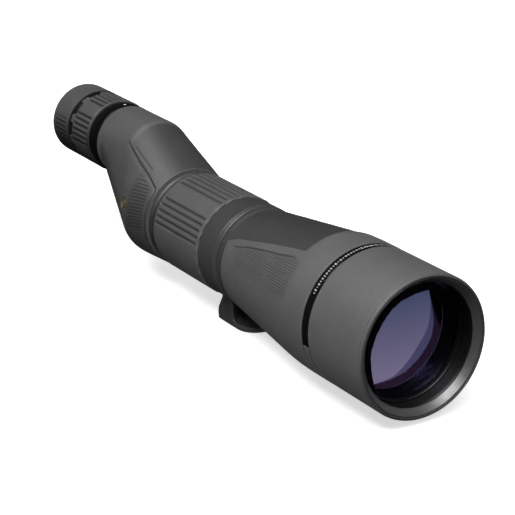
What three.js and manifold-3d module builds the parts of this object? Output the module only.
// Straight spotting scope with a rotating tripod collar, zoom eyepiece and sliding sunshade.
// Millimetres, +Z up. +X points out of the objective and -Y is the right-hand side.
// The origin lies on the flat face of the tripod foot, below the main optical axis.
import * as THREE from "three";
import { mergeVertices } from "three/addons/utils/BufferGeometryUtils.js";
import { ConvexGeometry } from "three/addons/geometries/ConvexGeometry.js";
import Module from "manifold-3d";

const wasm = await Module();
wasm.setup();

// ---------------------------------------------------------------- driving dimensions

const AXIS_HEIGHT = 55; // main optical axis above the foot's face
const EYEPIECE_RISE = 37; // eyepiece axis above the main axis
const GAP = 0.3; // clearance between neighbouring pieces

// Stations along X, from the objective to the eye.
const HOOD_FRONT = 209;
const HOOD_REAR = 149;
const BAND_FRONT = 148.5;
const BAND_REAR = 141.3;
const CONE_FRONT = 113;
const CONE_REAR = 9.3;
const COLLAR_FRONT = 4.2;
const COLLAR_REAR = -17.7;
const FOCUS_FRONT = -18;
const FOCUS_REAR = -83.5;
const HOUSING_FRONT = -94.3;
const PRISM_PLATE_X = -143;
const HOUSING_REAR = -194.6;
const SCALE_REAR = -209.8;
const ZOOM_REAR = -242;
const EYECUP_FRONT = -245.5;
const EYECUP_REAR = -273;

// Outer radii.
const HOOD_R = 51;
const WAIST_R = 38.3;
const FOCUS_R = 38.9;
const HOUSING_R = 38.9;
const EYE_BARREL_R = 28.8;
const EYECUP_R = 29.7;

// Metal tubes that the moving rings run on, and the clear bores inside them.
const TUBE_R = 34.2;
const TUBE_BORE_R = 31.2;
const EYE_TUBE_R = 22.1;
const EYE_TUBE_BORE_R = 19.6;
const OBJECTIVE_R = 43.3;

const RUBBER = 1.7; // thickness of the rubber armour
const WALL = 2.5; // thickness of the metal walls

// Travel of the moving groups.
const FOCUS_TURN = THREE.MathUtils.degToRad(270);
const FOCUS_TRAVEL = 16;
const ZOOM_TURN = THREE.MathUtils.degToRad(110);
const ZOOM_FRONT_TRAVEL = 6;
const ZOOM_REAR_TRAVEL = -5;

// Flats around turned pieces.
const OUTER = 28;
const INNER = 18;
const SMALL = 12;

// ---------------------------------------------------------------- materials

const finish = (color, roughness, metalness = 0) =>
  new THREE.MeshStandardMaterial({ color, roughness, metalness });

const rubber = finish(0x4d4e50, 0.72);
const gripRubber = finish(0x454648, 0.7);
const magnesium = finish(0x3f4144, 0.55, 0.6);
const blackMetal = finish(0x141416, 0.4, 0.7);
const glossBlack = finish(0x08080a, 0.2, 0.2);
const brass = finish(0xb89a55, 0.35, 0.9);
const steel = finish(0x9c9da0, 0.3, 0.9);
const felt = finish(0x1b1b1c, 0.95);
const white = finish(0xe8e8e4, 0.5);
const bronze = finish(0x9a8450, 0.4, 0.6);
const glass = finish(0x4a3f63, 0.05, 0.1);
const prismGlass = finish(0xc9d3d6, 0.05, 0.1);

// ---------------------------------------------------------------- building blocks

// Closed three.js geometry to a manifold solid.
function solid(geometry) {
  const bare = geometry.clone();
  bare.deleteAttribute("normal");
  bare.deleteAttribute("uv");
  const merged = mergeVertices(bare);
  const index = merged.index.array;
  const triangles = [];
  for (let i = 0; i < index.length; i += 3) {
    const [a, b, c] = index.slice(i, i + 3);
    if (a !== b && b !== c && c !== a) triangles.push(a, b, c);
  }
  return new wasm.Manifold(
    new wasm.Mesh({
      numProp: 3,
      vertProperties: new Float32Array(merged.attributes.position.array),
      triVerts: new Uint32Array(triangles),
    }),
  );
}

// Manifold solid back to three.js geometry.
function geometryOf(manifold) {
  const mesh = manifold.getMesh();
  const geometry = new THREE.BufferGeometry();
  geometry.setAttribute("position", new THREE.BufferAttribute(mesh.vertProperties, mesh.numProp));
  geometry.setIndex(new THREE.BufferAttribute(mesh.triVerts, 1));
  geometry.computeVertexNormals();
  return geometry;
}

// A solid turned about the X axis. Profiles are [x, radius] points from rear to front. The bore's
// corners are pushed out so that its flats keep the stated radius, and round pieces turn freely in it.
function turned(outside, bore = [], segments = INNER) {
  const widen = 1 / Math.cos(Math.PI / segments);
  const loop = outside.map(([x, r]) => new THREE.Vector2(r, x));
  if (bore.length) {
    loop.push(...bore.map(([x, r]) => new THREE.Vector2(r * widen, x)).reverse());
    loop.push(loop[0].clone());
  } else {
    loop.unshift(new THREE.Vector2(0, loop[0].y));
    loop.push(new THREE.Vector2(0, loop.at(-1).y));
  }
  const geometry = new THREE.LatheGeometry(loop, segments);
  geometry.rotateZ(-Math.PI / 2);
  return solid(geometry);
}

// A plain sleeve between two stations.
const sleeve = (rear, front, bore, radius, segments = INNER) =>
  turned([[rear, radius], [front, radius]], [[rear, bore], [front, bore]], segments);

// A plain rod along X.
const rod = (rear, front, radius, segments = SMALL) =>
  turned([[rear, radius], [front, radius]], [], segments);

// A lens with spherical faces; a positive sag bulges outwards.
function lens(rear, front, radius, rearSag, frontSag) {
  const steps = 2;
  const points = [];
  for (let i = 1; i <= steps; i += 1) {
    points.push([rear - rearSag * (1 - (i / steps) ** 2), (radius * i) / steps]);
  }
  for (let i = steps; i >= 1; i -= 1) {
    points.push([front + frontSag * (1 - (i / steps) ** 2), (radius * i) / steps]);
  }
  const loop = [[rear - rearSag, 0], ...points, [front + frontSag, 0]];
  const profile = loop.map(([x, r]) => new THREE.Vector2(r, x));
  const geometry = new THREE.LatheGeometry(profile, INNER);
  geometry.rotateZ(-Math.PI / 2);
  return solid(geometry);
}

const outline = (points) => new THREE.Shape(points.map(([a, b]) => new THREE.Vector2(a, b)));

const extruded = (shape, depth, curveSegments = 8) =>
  new THREE.ExtrudeGeometry(shape, { depth, bevelEnabled: false, curveSegments });

// An XZ outline given thickness along Y, centred on y = 0.
function sideways(shape, width) {
  const geometry = extruded(shape, width);
  geometry.rotateX(Math.PI / 2);
  geometry.translate(0, width / 2, 0);
  return solid(geometry);
}

function block(size, centre) {
  const geometry = new THREE.BoxGeometry(...size);
  geometry.translate(...centre);
  return solid(geometry);
}

// An upright round pin or hole.
function upright(radius, bottom, top, x = 0, y = 0, segments = SMALL) {
  const geometry = new THREE.CylinderGeometry(radius, radius, top - bottom, segments);
  geometry.rotateX(Math.PI / 2);
  geometry.translate(x, y, (bottom + top) / 2);
  return solid(geometry);
}

// A lead groove for one drive pin: a round channel that climbs along X while it turns about X.
// The pin stands at the top at rest, where the groove passes through restX.
class LeadCurve extends THREE.Curve {
  constructor(radius, restX, startTurn, endTurn, lead) {
    super();
    Object.assign(this, { radius, restX, startTurn, endTurn, lead });
  }
  getPoint(t, target = new THREE.Vector3()) {
    const turn = this.startTurn + (this.endTurn - this.startTurn) * t;
    const y = this.radius * Math.sin(turn);
    return target.set(this.restX + this.lead * turn, y, this.radius * Math.cos(turn));
  }
}

function leadGroove(curve, width, steps) {
  const round = new THREE.Shape();
  round.absarc(0, 0, width / 2, 0, 2 * Math.PI);
  const options = { extrudePath: curve, steps, curveSegments: 3, bevelEnabled: false };
  return solid(new THREE.ExtrudeGeometry(round, options));
}

// ---------------------------------------------------------------- assembly tree

const scope = new THREE.Group();
const mainAxis = new THREE.Group();
mainAxis.position.z = AXIS_HEIGHT;
const eyeAxis = new THREE.Group();
eyeAxis.position.z = AXIS_HEIGHT + EYEPIECE_RISE;
scope.add(mainAxis, eyeAxis);

function place(parent, name, manifold, material) {
  const mesh = new THREE.Mesh(geometryOf(manifold), material.clone());
  mesh.name = name;
  parent.add(mesh);
  return mesh;
}

// ---------------------------------------------------------------- tripod collar and its lock

const COLLAR_BORE_R = 35.4;
const LINER_R = 35.1;
const LINER_BORE_R = 34.5;
const LOCK_TILT = THREE.MathUtils.degToRad(-20); // the lock points left and a little down
const LOCK_X = (COLLAR_FRONT + COLLAR_REAR) / 2;
const BOSS_R = 8;
const BOSS_TOP = 43;
const SCREW_R = 3;
const SHOE_R = 4.5;
const SHOE_TOP = 37;
const SCREW_TOP = 56;
const INSIDE_RING = 30; // a distance from the axis that lies within the ring's bore
const KNOB_FOOT = BOSS_TOP + 1;
const KNOB_SKIRT_TOP = KNOB_FOOT + 4;
const KNOB_TOP = 61;
const CAP_R = 6;
const CAP_SEAT = 60;

const FOOT_HALF_WIDTH = 18.5;
const FOOT_PLATE = 4.2;
const FOOT_NOSE = 21.3;
const FOOT_SHOULDER = 5; // the plate narrows to its nose from here
const FOOT_REAR = -21.5;
const POST_TOP = 26;
const SOCKET_X = -11.5; // tripod thread, under the post
const SOCKET_DEPTH = 10;
const SOCKET_R = 5.2;
const THREAD_R = 3.2;
const PIN_HOLE_X = 9; // blind hole for a plate's anti-twist pin
const PIN_HOLE_R = 1.9;
const PIN_HOLE_DEPTH = 3;

// Points left along the lock's axis: local +Y outwards, with the lock's own centre line at y = z = 0.
const lockAxis = new THREE.Group();
lockAxis.position.x = LOCK_X;
lockAxis.rotation.x = LOCK_TILT;
mainAxis.add(lockAxis);

// A round piece on the lock's axis, between two distances from the main axis.
function radial(radius, near, far, segments = SMALL, farRadius = radius) {
  const geometry = new THREE.CylinderGeometry(farRadius, radius, far - near, segments);
  geometry.translate(0, (near + far) / 2, 0);
  return solid(geometry);
}

function onLockAxis(manifold) {
  const turn = new THREE.Matrix4().makeRotationX(LOCK_TILT);
  turn.setPosition(LOCK_X, 0, 0);
  return manifold.transform(turn.elements);
}

function footPlan() {
  const [half, round] = [FOOT_HALF_WIDTH, 14];
  const plan = new THREE.Shape();
  plan.moveTo(FOOT_REAR, -half);
  plan.lineTo(FOOT_SHOULDER, -half);
  plan.bezierCurveTo(FOOT_SHOULDER + 10, -half, FOOT_NOSE, -round, FOOT_NOSE, 0);
  plan.bezierCurveTo(FOOT_NOSE, round, FOOT_SHOULDER + 10, half, FOOT_SHOULDER, half);
  plan.lineTo(FOOT_REAR, half);
  plan.closePath();
  return plan;
}

// Side view of the post, heights above the foot's face.
const POST_OUTLINE = [
  [-21.2, 0.6], [2, 0.6], [2, 5], [-0.1, 7], [-1.5, 12], [-1.5, POST_TOP],
  [COLLAR_REAR, POST_TOP], [-16.6, 18.6], [-18.8, 14.7], [-21.8, 9.6], [-22.6, 4.5],
];

function makeCollar() {
  const plate = solid(extruded(footPlan(), FOOT_PLATE, 7)).translate([0, 0, -AXIS_HEIGHT]);
  const post = sideways(outline(POST_OUTLINE), 2 * FOOT_HALF_WIDTH).translate([0, 0, -AXIS_HEIGHT]);
  const ring = rod(COLLAR_REAR, COLLAR_FRONT, WAIST_R - 0.1, OUTER);
  const boss = onLockAxis(radial(BOSS_R, INSIDE_RING, BOSS_TOP));
  const widened = COLLAR_BORE_R / Math.cos(Math.PI / OUTER);
  const bore = rod(COLLAR_REAR - 1, COLLAR_FRONT + 1, widened, OUTER);
  const screwHole = onLockAxis(radial(SCREW_R + GAP, INSIDE_RING, BOSS_TOP + 1));
  const shoeHole = onLockAxis(radial(SHOE_R + GAP, INSIDE_RING, SHOE_TOP + GAP));
  const pocket = upright(SOCKET_R, -AXIS_HEIGHT - 1, -AXIS_HEIGHT + SOCKET_DEPTH, SOCKET_X);
  const pinHole = upright(PIN_HOLE_R, -AXIS_HEIGHT - 1, -AXIS_HEIGHT + PIN_HOLE_DEPTH, PIN_HOLE_X);
  let casting = ring.add(boss).add(post).add(plate);
  for (const hole of [bore, screwHole, shoeHole, pocket, pinHole]) casting = casting.subtract(hole);
  place(mainAxis, "tripod_collar", casting, magnesium);

  const linerHole = onLockAxis(radial(SHOE_R + GAP, INSIDE_RING, BOSS_TOP));
  const liner = sleeve(COLLAR_REAR + 1, COLLAR_FRONT - 1, LINER_BORE_R, LINER_R, OUTER);
  place(mainAxis, "collar_liner", liner.subtract(linerHole), felt);

  const insert = upright(SOCKET_R - GAP, 0.2, SOCKET_DEPTH - GAP, SOCKET_X);
  const thread = upright(THREAD_R, -1, SOCKET_DEPTH - 2, SOCKET_X);
  place(scope, "tripod_socket", insert.subtract(thread), brass);
}

function makeLock() {
  place(lockAxis, "lock_shoe", radial(SHOE_R, LINER_BORE_R + 0.1, SHOE_TOP), brass);
  place(lockAxis, "lock_screw", radial(SCREW_R, SHOE_TOP + 2 * GAP, SCREW_TOP), steel);
  const skirt = radial(7.5, KNOB_FOOT, KNOB_SKIRT_TOP);
  const grip = radial(8.6, KNOB_SKIRT_TOP, KNOB_TOP, 24, 9.2);
  const screwSeat = radial(SCREW_R + GAP, KNOB_FOOT - 1, SCREW_TOP + GAP);
  const capSeat = radial(CAP_R + GAP, CAP_SEAT, KNOB_TOP + 1);
  const knob = skirt.add(grip).subtract(screwSeat).subtract(capSeat);
  place(lockAxis, "lock_knob", knob, gripRubber);
  place(lockAxis, "lock_knob_cap", radial(CAP_R, CAP_SEAT + GAP, KNOB_TOP + 0.2), blackMetal);
}

// ---------------------------------------------------------------- barrel, armour and objective

const CYLINDER_TUBE_R = HOOD_R - RUBBER - GAP; // metal tube under the armour's front end
const CYLINDER_BORE_R = CYLINDER_TUBE_R - WALL;
const CONE_MIDDLE = 61; // the cone bows outwards a little here
const CONE_MIDDLE_R = 44.6;
const CONE_MIDDLE_BORE_R = 39.5;
const CONE_SHOULDER = 127; // the armour reaches its full radius here
const BARREL_REAR = HOUSING_FRONT - 4;

const FOCUS_PIN_X = -52;
const FOCUS_PIN_R = 1.6;
const FOCUS_GROOVE_R = 34.9;
const PIN_PLAY = 0.8; // a groove or slot is this much wider than its pin

function makeBarrel() {
  const inset = RUBBER + GAP;
  const shell = turned(
    [
      [BARREL_REAR, TUBE_R], [CONE_REAR - 1, TUBE_R], [CONE_REAR, WAIST_R - inset],
      [CONE_MIDDLE, CONE_MIDDLE_R - inset], [CONE_FRONT, CYLINDER_TUBE_R], [BAND_REAR, CYLINDER_TUBE_R],
    ],
    [
      [BARREL_REAR, TUBE_BORE_R], [CONE_REAR, TUBE_BORE_R], [CONE_MIDDLE, CONE_MIDDLE_BORE_R],
      [CONE_FRONT, CYLINDER_BORE_R], [BAND_REAR, CYLINDER_BORE_R],
    ],
    OUTER,
  );
  const slotLength = FOCUS_TRAVEL + 2 * FOCUS_PIN_R + 2;
  const slot = block([slotLength, 2 * FOCUS_PIN_R + PIN_PLAY, 8], [FOCUS_PIN_X, 0, TUBE_R]);
  place(mainAxis, "barrel_tube", shell.subtract(slot), magnesium);

  const armour = turned(
    [
      [CONE_REAR, WAIST_R], [CONE_MIDDLE, CONE_MIDDLE_R],
      [CONE_FRONT, HOOD_R - 0.5], [CONE_SHOULDER, HOOD_R], [BAND_REAR - GAP, HOOD_R],
    ],
    [
      [CONE_REAR, WAIST_R - RUBBER], [CONE_MIDDLE, CONE_MIDDLE_R - RUBBER],
      [CONE_FRONT, HOOD_R - RUBBER], [BAND_REAR - GAP, HOOD_R - RUBBER],
    ],
    OUTER,
  );
  place(mainAxis, "barrel_armour", armour, rubber);

  const collarNut = sleeve(COLLAR_FRONT + GAP, CONE_REAR - 1.6, TUBE_R + GAP, WAIST_R - 0.2, OUTER);
  place(mainAxis, "collar_retaining_nut", collarNut, blackMetal);
}

const CELL_R = 47;
const CELL_REAR = 129;
const CELL_FRONT = 202.5;
const CELL_BORE_R = 42.5;
const BAND_SEAT_R = 48.6;
const LENS_SHOULDER = 163; // the lens stack rests on this step in the cell
const SHOULDER_R = 41;
const FRICTION_REAR = 189.5;
const FRICTION_FRONT = 195;
const KEEPER_REAR = 189;
const KEEPER_FRONT = 193;

// The lens stack: [name, rear edge, front edge, rear sag, front sag], and the rings between the lenses.
const OBJECTIVE_LENSES = [
  ["objective_rear_lens", LENS_SHOULDER + GAP, 169, -1.2, 2],
  ["objective_middle_lens", 173, 177, -0.4, -2],
  ["objective_front_lens", 181, 188.6, 1.8, 2.4],
];
const OBJECTIVE_SPACERS = [
  ["objective_rear_spacer", 169.3, 172.7, 41.2],
  ["objective_front_spacer", 177.3, 180.7, 41.6],
];

function makeObjective() {
  const spigotR = CYLINDER_BORE_R - GAP;
  const cell = turned(
    [
      [CELL_REAR, spigotR], [BAND_REAR + GAP, spigotR], [BAND_REAR + GAP, BAND_SEAT_R],
      [BAND_FRONT, BAND_SEAT_R], [BAND_FRONT, CELL_R], [FRICTION_REAR, CELL_R],
      [FRICTION_REAR, CELL_R - 1], [FRICTION_FRONT, CELL_R - 1], [FRICTION_FRONT, CELL_R],
      [CELL_FRONT, CELL_R],
    ],
    [
      [CELL_REAR, CELL_BORE_R], [LENS_SHOULDER - 2, SHOULDER_R], [LENS_SHOULDER, SHOULDER_R],
      [LENS_SHOULDER, OBJECTIVE_R + GAP], [CELL_FRONT, OBJECTIVE_R + GAP],
    ],
    OUTER,
  );
  place(mainAxis, "objective_cell", cell, blackMetal);
  const band = sleeve(BAND_REAR + 0.2, BAND_FRONT - 0.1, BAND_SEAT_R + GAP, HOOD_R - 0.2, OUTER);
  place(mainAxis, "name_band", band, glossBlack);
  const strip = sleeve(FRICTION_REAR + GAP, FRICTION_FRONT - GAP, CELL_R - 0.7, CELL_R + GAP, OUTER);
  place(mainAxis, "sunshade_friction_strip", strip, felt);

  for (const [name, rear, front, rearSag, frontSag] of OBJECTIVE_LENSES) {
    place(mainAxis, name, lens(rear, front, OBJECTIVE_R, rearSag, frontSag), glass);
  }
  for (const [name, rear, front, bore] of OBJECTIVE_SPACERS) {
    place(mainAxis, name, sleeve(rear, front, bore, OBJECTIVE_R), blackMetal);
  }
  const keeper = sleeve(KEEPER_REAR, KEEPER_FRONT, 42.2, OBJECTIVE_R, OUTER);
  const wrenchSlot = block([2, 100, 3], [KEEPER_FRONT, 0, 0]);
  place(mainAxis, "objective_retaining_ring", keeper.subtract(wrenchSlot), blackMetal);
}

// A baffle: a thin washer with a rim that rests in the tube. [name, front face, rim radius, hole radius]
const BAFFLES = [
  ["front_baffle", 100, 44.2, 36],
  ["rear_baffle", 34, 34.9, 26],
];
const BAFFLE_LENGTH = 5;
const BAFFLE_PLATE = 1.2;

function makeBaffles() {
  for (const [name, front, rim, hole] of BAFFLES) {
    const rear = front - BAFFLE_LENGTH;
    const back = front - BAFFLE_PLATE;
    const rimRear = rim - 0.55;
    const rimBore = rimRear - BAFFLE_PLATE;
    const washer = turned(
      [[rear, rimRear], [front, rim]],
      [[rear, rimBore], [back, rimBore], [back, hole], [front, hole]],
    );
    place(mainAxis, name, washer, blackMetal);
  }
}

// ---------------------------------------------------------------- sunshade

const LIP_DEPTH = 5; // the bevel inside the front lip
const LIP_BORE_R = 43.6;
const LIP_MOUTH_R = 48.1;

function makeSunshade() {
  const lipRear = HOOD_FRONT - 2.7;
  const spigotRear = HOOD_FRONT - LIP_DEPTH - 0.6;
  const tubeFront = lipRear - GAP;
  const tubeBore = CELL_R + 0.6;
  const spigotR = tubeBore - GAP;
  const tube = sleeve(HOOD_REAR, tubeFront, tubeBore, CYLINDER_TUBE_R, OUTER);
  place(mainAxis, "sunshade_tube", tube, magnesium);
  const cover = sleeve(HOOD_REAR, tubeFront, HOOD_R - RUBBER, HOOD_R, OUTER);
  place(mainAxis, "sunshade_armour", cover, rubber);
  const lip = turned(
    [
      [spigotRear, spigotR], [lipRear, spigotR], [lipRear, HOOD_R],
      [HOOD_FRONT - 1, HOOD_R], [HOOD_FRONT, HOOD_R - 1.2],
    ],
    [[spigotRear, LIP_BORE_R], [HOOD_FRONT - LIP_DEPTH, LIP_BORE_R], [HOOD_FRONT, LIP_MOUTH_R]],
    OUTER,
  );
  place(mainAxis, "sunshade_front_ring", lip, rubber);
}

// ---------------------------------------------------------------- focus ring and carriage

const FOCUS_LEAD = FOCUS_TRAVEL / FOCUS_TURN;
const FOCUS_SLEEVE_R = FOCUS_R - 2;
const FOCUS_CELL_HALF = 14;
const FOCUS_LENS_R = 27.6;

function makeFocus() {
  const sleeveBore = TUBE_R + GAP;
  const ring = sleeve(FOCUS_REAR + 0.5, FOCUS_FRONT - 0.5, sleeveBore, FOCUS_SLEEVE_R, OUTER);
  const reach = FOCUS_TURN / 2 + 0.1;
  const curve = new LeadCurve(FOCUS_GROOVE_R, FOCUS_PIN_X, -reach, reach, FOCUS_LEAD);
  const groove = leadGroove(curve, 2 * FOCUS_PIN_R + PIN_PLAY, 30);
  place(mainAxis, "focus_sleeve", ring.subtract(groove), blackMetal);
  const grip = sleeve(FOCUS_REAR, FOCUS_FRONT, FOCUS_SLEEVE_R + GAP, FOCUS_R, OUTER);
  place(mainAxis, "focus_grip", grip, gripRubber);

  const cellR = TUBE_BORE_R - 0.4;
  const cellRear = FOCUS_PIN_X - FOCUS_CELL_HALF;
  const cellFront = FOCUS_PIN_X + FOCUS_CELL_HALF;
  const seat = cellFront - 9; // the lens rests against this step
  const lensRear = seat - 4.5;
  const cell = turned(
    [[cellRear, cellR], [cellFront, cellR]],
    [[cellRear, 28], [seat, 28], [seat, 26.4], [cellFront, 26.4]],
    OUTER,
  );
  const pinHole = upright(FOCUS_PIN_R + 0.25, 25, 40, FOCUS_PIN_X);
  place(mainAxis, "focus_cell", cell.subtract(pinHole), blackMetal);
  const pinTop = FOCUS_GROOVE_R + 0.3;
  place(mainAxis, "focus_drive_pin", upright(FOCUS_PIN_R, 28.6, pinTop, FOCUS_PIN_X), steel);
  const focusLens = lens(lensRear, seat - GAP, FOCUS_LENS_R, -1.2, -1.6);
  place(mainAxis, "focus_lens", focusLens, glass);
  const keeper = sleeve(lensRear - 3.5, lensRear - GAP, 25.5, FOCUS_LENS_R);
  place(mainAxis, "focus_lens_ring", keeper, blackMetal);
}

// ---------------------------------------------------------------- prism housing

// The housing is an elbow: a tapering skin drawn over discs on the two axes, with a short straight
// barrel behind it. Each disc is [x, height above the main axis, radius].
const EYE_BARREL_FRONT = -187;
const ELBOW_DISCS = [
  [HOUSING_FRONT, 0, HOUSING_R],
  [-122, 0, 40.6],
  [-131, 0, 40.8],
  [-137, 0, 38.4],
  [-146, EYEPIECE_RISE, EYE_BARREL_R],
  [EYE_BARREL_FRONT, EYEPIECE_RISE, EYE_BARREL_R],
];

function housingBlock(inset) {
  const rims = [];
  for (const [x, height, radius] of ELBOW_DISCS) {
    const station = x === HOUSING_FRONT ? x - inset : x;
    for (let i = 0; i < OUTER; i += 1) {
      const angle = (2 * Math.PI * i) / OUTER;
      const y = (radius - inset) * Math.sin(angle);
      rims.push(new THREE.Vector3(station, y, height + (radius - inset) * Math.cos(angle)));
    }
  }
  const elbow = solid(new ConvexGeometry(rims));
  const barrel = rod(HOUSING_REAR + inset, EYE_BARREL_FRONT + 7, EYE_BARREL_R - inset, OUTER);
  return elbow.add(barrel.translate([0, 0, EYEPIECE_RISE]));
}

const SHELL_INSET = RUBBER + GAP;
const CAVITY_INSET = SHELL_INSET + WALL;
const BADGE_R = 3.9;
const BADGE_SEAT = [-130.1, -40.4, 8.9];
const PLUG_R = 1.2;
const PLUG_SEATS = { purge_plug: [-163, -27.6, 48], housing_plug: [-121.2, -34.4, 27.1] };

function makeHousing() {
  const spigotHole = rod(HOUSING_FRONT - 8, HOUSING_FRONT + 1, TUBE_R + 2 * GAP, OUTER);
  const eyeHole = rod(HOUSING_REAR - 1, HOUSING_REAR + 8, EYE_TUBE_R + 2 * GAP, INNER);
  const holes = spigotHole.add(eyeHole.translate([0, 0, EYEPIECE_RISE]));

  let armour = housingBlock(0).subtract(housingBlock(RUBBER)).subtract(holes);
  const shell = housingBlock(SHELL_INSET).subtract(housingBlock(CAVITY_INSET)).subtract(holes);

  // Round pieces let into the armour's right side, seen end-on from -Y.
  const stud = (radius, from, to, [x, , z]) => {
    const geometry = new THREE.CylinderGeometry(radius, radius, to - from, SMALL);
    geometry.translate(x, (from + to) / 2, z);
    return solid(geometry);
  };
  const badgeBack = BADGE_SEAT[1] - 0.2;
  armour = armour.subtract(stud(BADGE_R + GAP, -45, badgeBack, BADGE_SEAT));
  place(mainAxis, "housing_badge", stud(BADGE_R, badgeBack - 1, badgeBack, BADGE_SEAT), bronze);
  for (const [name, seat] of Object.entries(PLUG_SEATS)) {
    armour = armour.subtract(stud(PLUG_R + GAP, -45, -20, seat));
    const face = seat[1];
    place(mainAxis, name, stud(PLUG_R, face, face + RUBBER, seat), blackMetal);
  }
  place(mainAxis, "housing_armour", armour, rubber);
  place(mainAxis, "prism_housing", shell, magnesium);
  const adapter = sleeve(HOUSING_FRONT + GAP, FOCUS_REAR - 0.8, TUBE_R + GAP, HOUSING_R - 2, OUTER);
  place(mainAxis, "housing_adapter_ring", adapter, blackMetal);
}

// A pair of right-angle prisms turned 45 degrees lifts the light path from the main axis to the
// eyepiece axis: each prism shifts it sideways by half its own length.
const PRISM_SHIFT = EYEPIECE_RISE * Math.SQRT1_2;
const PRISM_WIDTH = 14;
const PRISM_LENGTH = PRISM_SHIFT + PRISM_WIDTH;
const PRISM_DEPTH = 20;
const PRISM_EDGE = 1.5; // blunted corners
const PLATE_HALF = 1.5;
const LIGHT_HOLE_R = 6.6;
const STRAP_WIDTH = 6;

// A blunt right-angle prism standing on the plate, its long side turned about X.
function prismSolid(turn, y, z, facing) {
  const half = PRISM_LENGTH / 2;
  const blunt = half - PRISM_DEPTH;
  const face = outline([
    [-half, 0], [half, 0], [half, PRISM_EDGE], [blunt + PRISM_EDGE, PRISM_DEPTH],
    [-blunt - PRISM_EDGE, PRISM_DEPTH], [-half, PRISM_EDGE],
  ]);
  const geometry = extruded(face, PRISM_WIDTH);
  geometry.translate(0, 0, -PRISM_WIDTH / 2);
  geometry.applyMatrix4(prismFrame(turn, facing));
  geometry.translate(PRISM_PLATE_X + facing * (PLATE_HALF + GAP), y, z);
  return solid(geometry);
}

// Axes of a prism: its length lies in the YZ plane, and its depth points away from the plate.
function prismFrame(turn, facing) {
  const along = new THREE.Vector3(0, Math.cos(turn), Math.sin(turn));
  const away = new THREE.Vector3(facing, 0, 0);
  const across = new THREE.Vector3().crossVectors(along, away);
  return new THREE.Matrix4().makeBasis(along, away, across);
}

// A spring strap bent over a prism, with two feet on the plate.
function strapSolid(turn, y, z, facing) {
  const half = PRISM_LENGTH / 2;
  const blunt = half - PRISM_DEPTH;
  const strap = outline([
    [-half - 4, 0], [-half - GAP, 0], [-half - GAP, 1.9], [-blunt - 1.8, PRISM_DEPTH + GAP],
    [blunt + 1.8, PRISM_DEPTH + GAP], [half + GAP, 1.9], [half + GAP, 0], [half + 4, 0],
    [half + 4, 0.8], [half + 1.2, 0.8], [half + 1.2, 2.3], [blunt + 2.2, PRISM_DEPTH + 1.2],
    [-blunt - 2.2, PRISM_DEPTH + 1.2], [-half - 1.2, 2.3], [-half - 1.2, 0.8], [-half - 4, 0.8],
  ]);
  const geometry = extruded(strap, STRAP_WIDTH);
  geometry.translate(0, 0, -STRAP_WIDTH / 2);
  geometry.applyMatrix4(prismFrame(turn, facing));
  geometry.translate(PRISM_PLATE_X + facing * (PLATE_HALF + GAP), y, z);
  return solid(geometry);
}

function makePrisms() {
  const slab = block([2 * PLATE_HALF, 200, 300], [PRISM_PLATE_X, 0, 0]);
  let plate = housingBlock(CAVITY_INSET + GAP).intersect(slab);
  const halfShift = EYEPIECE_RISE / 2;
  for (const [y, z] of [[0, 0], [halfShift, halfShift], [0, EYEPIECE_RISE]]) {
    const hole = rod(PRISM_PLATE_X - 5, PRISM_PLATE_X + 5, LIGHT_HOLE_R);
    plate = plate.subtract(hole.translate([0, y, z]));
  }
  place(mainAxis, "prism_plate", plate, magnesium);

  const low = halfShift / 2;
  const high = EYEPIECE_RISE - halfShift / 2;
  const eighthTurn = Math.PI / 4;
  place(mainAxis, "rear_prism", prismSolid(eighthTurn, low, low, -1), prismGlass);
  place(mainAxis, "front_prism", prismSolid(-eighthTurn, low, high, 1), prismGlass);
  place(mainAxis, "rear_prism_strap", strapSolid(eighthTurn, low, low, -1), steel);
  place(mainAxis, "front_prism_strap", strapSolid(-eighthTurn, low, high, 1), steel);
}

// ---------------------------------------------------------------- zoom eyepiece

const ZOOM_FRONT = SCALE_REAR - GAP;
const ZOOM_SLEEVE_R = EYECUP_R - 2;
const ZOOM_PIN_R = 1.2;
const ZOOM_GROOVE_R = 22.9;
const FRONT_PIN_X = -220;
const REAR_PIN_X = -232;
const EYE_TUBE_REAR = -243;
const EYE_FLANGE = 2.7;
const DOT_R = 1;

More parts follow.
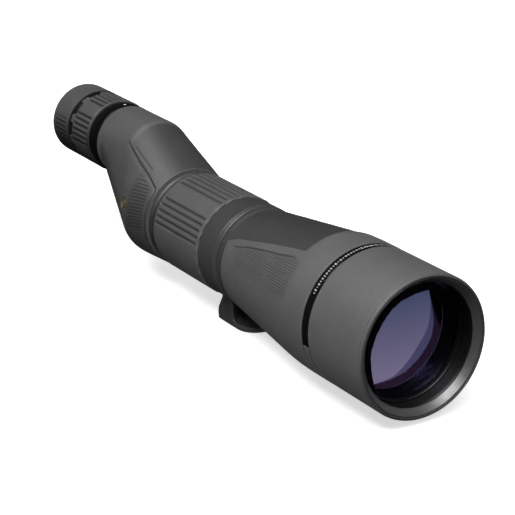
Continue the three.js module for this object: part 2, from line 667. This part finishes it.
function makeEyepieceTube() {
  const flangeFront = HOUSING_REAR + CAVITY_INSET + 3;
  const tube = turned(
    [
      [EYE_TUBE_REAR, EYE_TUBE_R], [flangeFront - EYE_FLANGE, EYE_TUBE_R],
      [flangeFront - EYE_FLANGE, EYE_TUBE_R + 1.6], [flangeFront, EYE_TUBE_R + 1.6],
    ],
    [[EYE_TUBE_REAR, EYE_TUBE_BORE_R], [flangeFront, EYE_TUBE_BORE_R]],
  );
  const slotWidth = 2 * ZOOM_PIN_R + PIN_PLAY;
  const pinSlot = (x, travel) =>
    block([Math.abs(travel) + slotWidth + 1, slotWidth, 8], [x + travel / 2, 0, EYE_TUBE_R]);
  const frontSlot = pinSlot(FRONT_PIN_X, ZOOM_FRONT_TRAVEL);
  const rearSlot = pinSlot(REAR_PIN_X, ZOOM_REAR_TRAVEL);
  place(eyeAxis, "eyepiece_tube", tube.subtract(frontSlot).subtract(rearSlot), blackMetal);

  const stopRear = flangeFront + GAP;
  place(eyeAxis, "field_stop", sleeve(stopRear, stopRear + 2, 12, EYE_TUBE_R + 0.5), blackMetal);

  const scaleFront = HOUSING_REAR - GAP;
  const scaleR = EYE_BARREL_R + 0.3;
  const lowR = scaleR - 0.7;
  const step = SCALE_REAR + 6;
  const scale = turned(
    [[SCALE_REAR, lowR], [step, lowR], [step + 0.6, scaleR], [scaleFront, scaleR]],
    [[SCALE_REAR, EYE_TUBE_R + GAP], [scaleFront, EYE_TUBE_R + GAP]],
    OUTER,
  );
  const dotX = scaleFront - 4.3;
  const dotSeat = upright(DOT_R + GAP, scaleR - 1.2, scaleR + 2, dotX);
  place(eyeAxis, "zoom_scale_ring", scale.subtract(dotSeat), glossBlack);
  place(eyeAxis, "zoom_index_dot", upright(DOT_R, scaleR - 0.9, scaleR + 0.1, dotX), white);
}

function makeZoomRing() {
  const boreR = EYE_TUBE_R + 0.4;
  const frontLead = ZOOM_FRONT_TRAVEL / ZOOM_TURN;
  const rearLead = ZOOM_REAR_TRAVEL / ZOOM_TURN;
  let cam = sleeve(ZOOM_REAR, ZOOM_FRONT, boreR, ZOOM_SLEEVE_R - GAP, OUTER);
  for (const [x, lead] of [[FRONT_PIN_X, frontLead], [REAR_PIN_X, rearLead]]) {
    const curve = new LeadCurve(ZOOM_GROOVE_R, x, -0.1, ZOOM_TURN + 0.1, lead);
    cam = cam.subtract(leadGroove(curve, 2 * ZOOM_PIN_R + PIN_PLAY, 14));
  }
  place(eyeAxis, "zoom_cam_sleeve", cam, blackMetal);
  const grip = sleeve(ZOOM_REAR, ZOOM_FRONT, ZOOM_SLEEVE_R, EYECUP_R, OUTER);
  place(eyeAxis, "zoom_grip", grip, gripRubber);
}

// One sliding lens group of the zoom: a cell, its lens and the drive pin on top.
function makeZoomGroup(name, rear, front, lensRear, lensFront, pinX) {
  const cellR = EYE_TUBE_BORE_R - 0.4;
  const lensR = cellR - 2;
  const seat = lensFront + GAP;
  const clearR = lensR - 1.2;
  const cell = turned(
    [[rear, cellR], [front, cellR]],
    [[rear, lensR + GAP], [seat, lensR + GAP], [seat, clearR], [front, clearR]],
  );
  const pinHole = upright(ZOOM_PIN_R + 0.25, 10, 30, pinX);
  place(eyeAxis, `${name}_cell`, cell.subtract(pinHole), blackMetal);
  place(eyeAxis, `${name}_lens`, lens(lensRear, lensFront, lensR, 0.8, 0.8), glass);
  place(eyeAxis, `${name}_pin`, upright(ZOOM_PIN_R, cellR - 1.3, ZOOM_GROOVE_R + 0.2, pinX, 0, 10), steel);
}

const EYE_HOLDER_R = 24.1;
const EYE_HOLDER_REAR = -262;
const CARRIER_R = 26;
const HOLDER_FLANGE_R = CARRIER_R + 1.2;
const EYE_LENS_R = 19;
const EYE_LENS_DEPTH = 4;
const EYECUP_BORE_R = 21;

function makeEyeEnd() {
  const holderFront = EYE_TUBE_REAR - GAP;
  const flangeRear = EYECUP_FRONT + 0.5;
  const seat = EYE_HOLDER_REAR + 1.6; // the lens rests against this lip
  const holder = turned(
    [
      [EYE_HOLDER_REAR, EYE_HOLDER_R], [flangeRear, EYE_HOLDER_R],
      [flangeRear, HOLDER_FLANGE_R], [holderFront, HOLDER_FLANGE_R],
    ],
    [
      [EYE_HOLDER_REAR, EYE_LENS_R - 2], [seat, EYE_LENS_R - 2],
      [seat, EYE_LENS_R + GAP], [holderFront, EYE_LENS_R + GAP],
    ],
    OUTER,
  );
  place(eyeAxis, "eye_lens_holder", holder, blackMetal);
  const lensRear = seat + GAP;
  const lensFront = lensRear + EYE_LENS_DEPTH;
  place(eyeAxis, "eye_lens", lens(lensRear, lensFront, EYE_LENS_R, 1, 0.5), glass);
  place(eyeAxis, "eye_lens_ring", sleeve(lensFront + GAP, lensFront + 3, 17.2, EYE_LENS_R), blackMetal);

  const carrierFront = EYECUP_FRONT - 0.5;
  const carrier = sleeve(EYE_HOLDER_REAR - 2, carrierFront, EYE_HOLDER_R + 0.4, CARRIER_R, OUTER);
  place(eyeAxis, "eyecup_carrier", carrier, blackMetal);
  const lipRear = EYECUP_REAR + 3;
  const sleeveR = EYECUP_R - 2;
  const twist = sleeve(lipRear + GAP, EYECUP_FRONT - GAP, CARRIER_R + 0.4, sleeveR, OUTER);
  place(eyeAxis, "eyecup_sleeve", twist, blackMetal);
  const cup = turned(
    [[EYECUP_REAR, EYECUP_R - 1.4], [EYECUP_REAR + 1.2, EYECUP_R], [EYECUP_FRONT, EYECUP_R]],
    [
      [EYECUP_REAR, EYECUP_BORE_R + 1.5], [EYECUP_REAR + 1.5, EYECUP_BORE_R],
      [lipRear, EYECUP_BORE_R], [lipRear, sleeveR + GAP], [EYECUP_FRONT, sleeveR + GAP],
    ],
    OUTER,
  );
  place(eyeAxis, "eyecup", cup, gripRubber);
}

// ---------------------------------------------------------------- put together

makeCollar();
makeLock();
makeBarrel();
makeObjective();
makeBaffles();
makeSunshade();
makeFocus();
makeHousing();
makePrisms();
makeEyepieceTube();
makeZoomRing();
makeZoomGroup("zoom_front", -224, -198, -205, -201, FRONT_PIN_X);
makeZoomGroup("zoom_rear", -238, -229, -236.5, -233, REAR_PIN_X);
makeEyeEnd();

export default scope;
